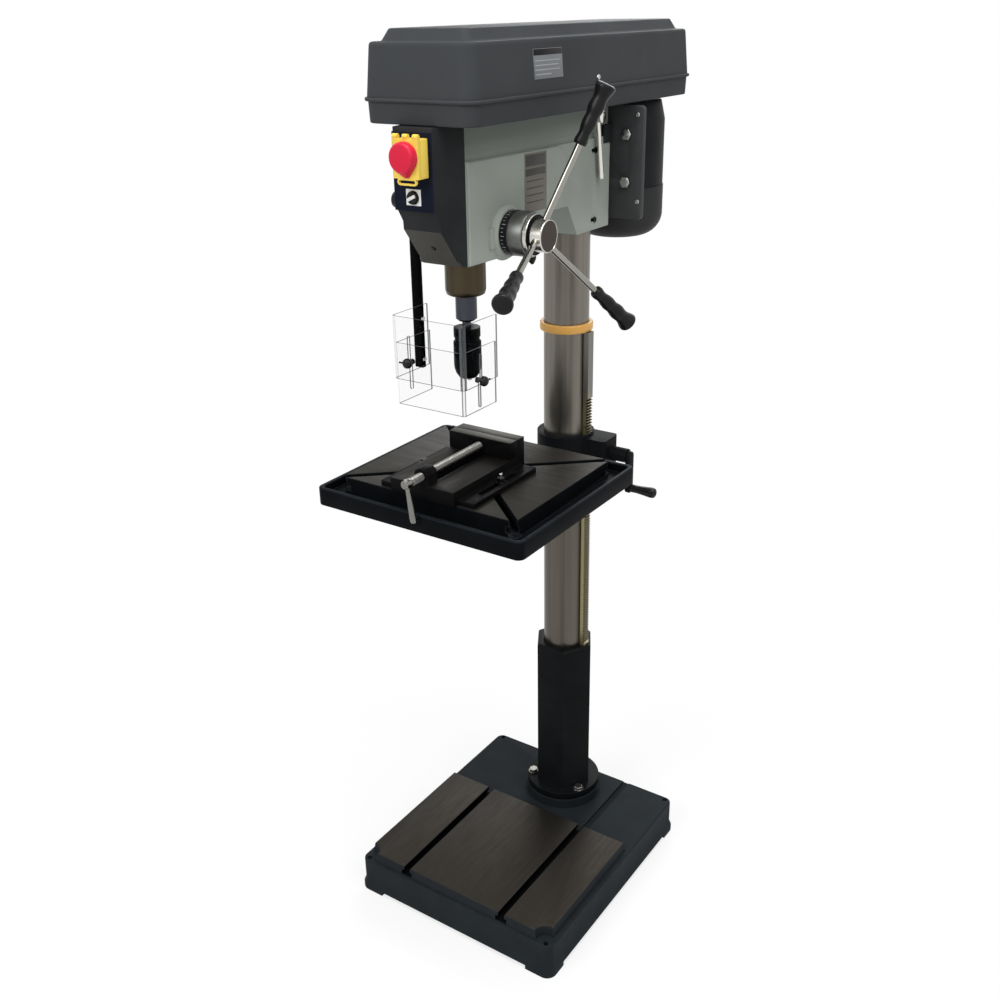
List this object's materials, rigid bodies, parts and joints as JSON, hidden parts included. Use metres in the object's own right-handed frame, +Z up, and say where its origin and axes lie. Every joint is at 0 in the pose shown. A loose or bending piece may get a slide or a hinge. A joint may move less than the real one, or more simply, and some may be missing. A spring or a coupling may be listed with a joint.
{
  "type": "floor-standing pillar drill",
  "caption": "Floor-standing pillar drill with a belt-driven spindle, spoked feed handle, keyless chuck, clear chuck guard and a tilting rack-lifted table that carries a drill vise.",
  "frame": {"origin": "on the floor, midway between the base's four anchor holes", "axes": "+Z up along the column, -Y towards the operator, +X towards the feed handle"},
  "size_m": [0.506, 0.848, 1.797],
  "materials": {
    "base_paint": "hammered blue-black paint on cast iron",
    "machined_iron": "machined cast iron, dull brown-grey",
    "ground_steel": "ground steel",
    "bright_steel": "bright plated steel",
    "rack_steel": "milled steel with a pale yellow passivation",
    "collar_paint": "yellow passivated steel",
    "head_paint": "light grey-green paint on cast iron",
    "guard_paint": "dark grey structured paint on sheet steel",
    "black_paint": "black paint",
    "black_plastic": "moulded black plastic",
    "dark_plastic": "moulded matt black plastic",
    "navy_plastic": "moulded navy plastic",
    "yellow_plastic": "moulded yellow plastic",
    "red_plastic": "moulded red plastic",
    "green_plastic": "moulded green plastic",
    "clear_sheet": "clear polycarbonate sheet",
    "belt_rubber": "V-belt rubber",
    "pulley_alloy": "turned aluminium"
  },
  "bodies": {
    "stand": {"base": "base_paint", "column_support": "base_paint", "flange_bolts": "bright_steel", "column": "ground_steel", "rack_collar": "collar_paint", "head_casting": "head_paint", "head_screws": "bright_steel", "front_cover": "black_paint", "switch_box": "navy_plastic", "belt_guard_pan": "guard_paint", "return_spring": "ground_steel", "spring_housing": "black_paint", "spindle_belt": "belt_rubber", "motor_belt": "belt_rubber"},
    "guard_lid": {"belt_guard_lid": "guard_paint"},
    "motor": {"motor_plate": "black_paint", "motor_body": "black_paint", "motor_fan_cover": "black_paint", "motor_bolts": "bright_steel", "slide_rods": "ground_steel"},
    "motor_drive": {"motor_rotor": "ground_steel", "motor_pulley": "pulley_alloy"},
    "idler_swing": {"idler_arm": "black_paint"},
    "idler": {"idler_pulley": "pulley_alloy"},
    "spindle_drive": {"spindle_pulley": "pulley_alloy"},
    "tension": {"tension_lever": "bright_steel"},
    "quill_slide": {"quill": "ground_steel", "quill_bearings": "ground_steel"},
    "spindle_unit": {"spindle": "ground_steel", "chuck_body": "ground_steel"},
    "chuck_ring": {"chuck_sleeve": "ground_steel"},
    "jaw_1": {"chuck_jaw_1": "ground_steel"},
    "jaw_2": {"chuck_jaw_2": "ground_steel"},
    "jaw_3": {"chuck_jaw_3": "ground_steel"},
    "feed_handle": {"pinion_shaft": "ground_steel", "feed_hub": "bright_steel", "feed_spokes": "bright_steel", "feed_grips": "black_plastic"},
    "dial": {"depth_dial": "black_paint"},
    "dial_lock": {"dial_lock_knob": "dark_plastic"},
    "chuck_guard": {"guard_bar": "black_paint", "guard_upper_shield": "clear_sheet", "guard_knobs": "dark_plastic"},
    "lower_shield": {"guard_lower_shield": "clear_sheet"},
    "guard_pivot": {"guard_pivot_knob": "black_plastic"},
    "flap": {"stop_flap": "yellow_plastic", "stop_mushroom": "red_plastic"},
    "start": {"start_button": "green_plastic"},
    "selector": {"selector_knob": "dark_plastic"},
    "rack_swivel": {"rack": "rack_steel"},
    "bracket": {"table_bracket": "base_paint", "tilt_bolt": "bright_steel"},
    "lift_shaft": {"lift_gear": "ground_steel"},
    "crank": {"table_crank": "black_paint"},
    "crank_handle": {"crank_grip": "black_plastic"},
    "column_clamp": {"column_lock": "bright_steel"},
    "work_table": {"table": "base_paint", "vise_body": "base_paint"},
    "moving_jaw": {"vise_jaw": "base_paint"},
    "screw": {"vise_screw": "bright_steel"}
  },
  "joints": [
    {"name": "lid_hinge", "type": "hinge", "parent": "stand", "child": "guard_lid", "pos_m": [-0.122, 0.096, 1.6925], "axis": [0, -1, 0], "range_deg": [0, 100]},
    {"name": "motor_tension", "type": "slide", "parent": "stand", "child": "motor", "axis": [0, 1, 0], "range_m": [-0.008, 0.022], "deforming": ["motor_belt"]},
    {"name": "motor_spin", "type": "hinge", "parent": "motor", "child": "motor_drive", "pos_m": [0, 0.388, 1.56], "axis": [0, 0, 1], "continuous": true},
    {"name": "idler_tension", "type": "hinge", "parent": "stand", "child": "idler_swing", "pos_m": [-0.042, 0.068, 1.66], "axis": [0, 0, 1], "range_deg": [-4, 4], "deforming": ["motor_belt", "spindle_belt"]},
    {"name": "idler_spin", "type": "hinge", "parent": "idler_swing", "child": "idler", "pos_m": [0, 0.11, 1.716], "axis": [0, 0, 1], "continuous": true},
    {"name": "drive_spin", "type": "hinge", "parent": "stand", "child": "spindle_drive", "pos_m": [0, -0.159, 1.716], "axis": [0, 0, 1], "continuous": true},
    {"name": "lever_swing", "type": "hinge", "parent": "stand", "child": "tension", "pos_m": [0, 0.17, 1.636], "axis": [1, 0, 0], "range_deg": [-12.1, 33.1]},
    {"name": "quill_feed", "type": "slide", "parent": "stand", "child": "quill_slide", "axis": [0, 0, 1], "range_m": [-0.12, 0], "stiffness_N_per_m": 350, "springref_m": 0.42},
    {"name": "spindle_spin", "type": "hinge", "parent": "quill_slide", "child": "spindle_unit", "pos_m": [0, -0.159, 1.45], "axis": [0, 0, 1], "continuous": true},
    {"name": "chuck_turn", "type": "hinge", "parent": "spindle_unit", "child": "chuck_ring", "pos_m": [0, -0.159, 1.25], "axis": [0, 0, 1], "range_deg": [0, 720]},
    {"name": "jaw_1_slide", "type": "slide", "parent": "spindle_unit", "child": "jaw_1", "axis": [0, 0.1164, 0.9932], "range_m": [0, 0.01]},
    {"name": "jaw_2_slide", "type": "slide", "parent": "spindle_unit", "child": "jaw_2", "axis": [-0.1008, -0.0582, 0.9932], "range_m": [0, 0.01]},
    {"name": "jaw_3_slide", "type": "slide", "parent": "spindle_unit", "child": "jaw_3", "axis": [0.1008, -0.0582, 0.9932], "range_m": [0, 0.01]},
    {"name": "feed_turn", "type": "hinge", "parent": "stand", "child": "feed_handle", "pos_m": [0, -0.113, 1.47], "axis": [1, 0, 0], "range_deg": [0, 529]},
    {"name": "dial_turn", "type": "hinge", "parent": "feed_handle", "child": "dial", "pos_m": [0.088, -0.113, 1.47], "axis": [1, 0, 0], "range_deg": [-180, 180]},
    {"name": "dial_lock_turn", "type": "hinge", "parent": "dial", "child": "dial_lock", "pos_m": [0.1003, -0.10058, 1.42364], "axis": [0, 0.2588, -0.9659], "range_deg": [-180, 180]},
    {"name": "guard_swing", "type": "hinge", "parent": "stand", "child": "chuck_guard", "pos_m": [-0.081, -0.192, 1.523], "axis": [-1, 0, 0], "range_deg": [0, 90]},
    {"name": "lower_shield_slide", "type": "slide", "parent": "chuck_guard", "child": "lower_shield", "axis": [0, 0, 1], "range_m": [0, 0.045]},
    {"name": "guard_knob_turn", "type": "hinge", "parent": "stand", "child": "guard_pivot", "pos_m": [-0.1, -0.192, 1.523], "axis": [1, 0, 0], "range_deg": [-180, 180]},
    {"name": "flap_hinge", "type": "hinge", "parent": "stand", "child": "flap", "pos_m": [0.007, -0.3153, 1.644], "axis": [-1, 0, 0], "range_deg": [0, 100]},
    {"name": "start_press", "type": "slide", "parent": "stand", "child": "start", "axis": [0, 1, 0], "range_m": [0, 0.003], "stiffness_N_per_m": 400, "springref_m": -0.004},
    {"name": "selector_turn", "type": "hinge", "parent": "stand", "child": "selector", "pos_m": [0, -0.298, 1.548], "axis": [0, -1, 0], "range_deg": [-45, 45]},
    {"name": "table_swivel", "type": "hinge", "parent": "stand", "child": "rack_swivel", "pos_m": [0, 0.185, 0.9], "axis": [0, 0, 1], "range_deg": [-90, 90]},
    {"name": "table_lift", "type": "slide", "parent": "rack_swivel", "child": "bracket", "axis": [0, 0, 1], "range_m": [-0.375, 0.08]},
    {"name": "gear_turn", "type": "hinge", "parent": "bracket", "child": "lift_shaft", "pos_m": [0.068, 0.185, 0.936], "axis": [0, -1, 0], "range_deg": [-1791, 383]},
    {"name": "crank_turn", "type": "hinge", "parent": "bracket", "child": "crank", "pos_m": [0.12, 0.2065, 0.9646], "axis": [1, 0, 0], "range_deg": [-21490, 4590]},
    {"name": "crank_grip_turn", "type": "hinge", "parent": "crank", "child": "crank_handle", "pos_m": [0.177, 0.2065, 0.8946], "axis": [1, 0, 0], "continuous": true},
    {"name": "clamp_turn", "type": "hinge", "parent": "bracket", "child": "column_clamp", "pos_m": [0, 0.259, 0.955], "axis": [1, 0, 0], "range_deg": [0, 45]},
    {"name": "table_tilt", "type": "hinge", "parent": "bracket", "child": "work_table", "pos_m": [0, -0.04, 0.94], "axis": [0, 1, 0], "range_deg": [-45, 45]},
    {"name": "vise_open", "type": "slide", "parent": "work_table", "child": "moving_jaw", "axis": [0, -1, 0], "range_m": [0, 0.13]},
    {"name": "vise_turn", "type": "hinge", "parent": "moving_jaw", "child": "screw", "pos_m": [0, -0.35, 1.071], "axis": [0, -1, 0], "range_deg": [0, 11702]}
  ],
  "couplings": [
    {"joint": "lever_swing", "follows": "motor_tension", "rad_per_m": 26.18},
    {"joint": "idler_spin", "follows": "motor_spin", "ratio": 0.60714},
    {"joint": "drive_spin", "follows": "motor_spin", "ratio": 0.46548},
    {"joint": "spindle_spin", "follows": "motor_spin", "ratio": 0.46548},
    {"joint": "jaw_1_slide", "follows": "chuck_turn", "m_per_rad": 0.00079577},
    {"joint": "jaw_2_slide", "follows": "chuck_turn", "m_per_rad": 0.00079577},
    {"joint": "jaw_3_slide", "follows": "chuck_turn", "m_per_rad": 0.00079577},
    {"joint": "feed_turn", "follows": "quill_feed", "rad_per_m": -76.923},
    {"joint": "gear_turn", "follows": "table_lift", "rad_per_m": 83.333},
    {"joint": "crank_turn", "follows": "table_lift", "rad_per_m": 1000},
    {"joint": "vise_turn", "follows": "vise_open", "rad_per_m": 1570.8}
  ]
}
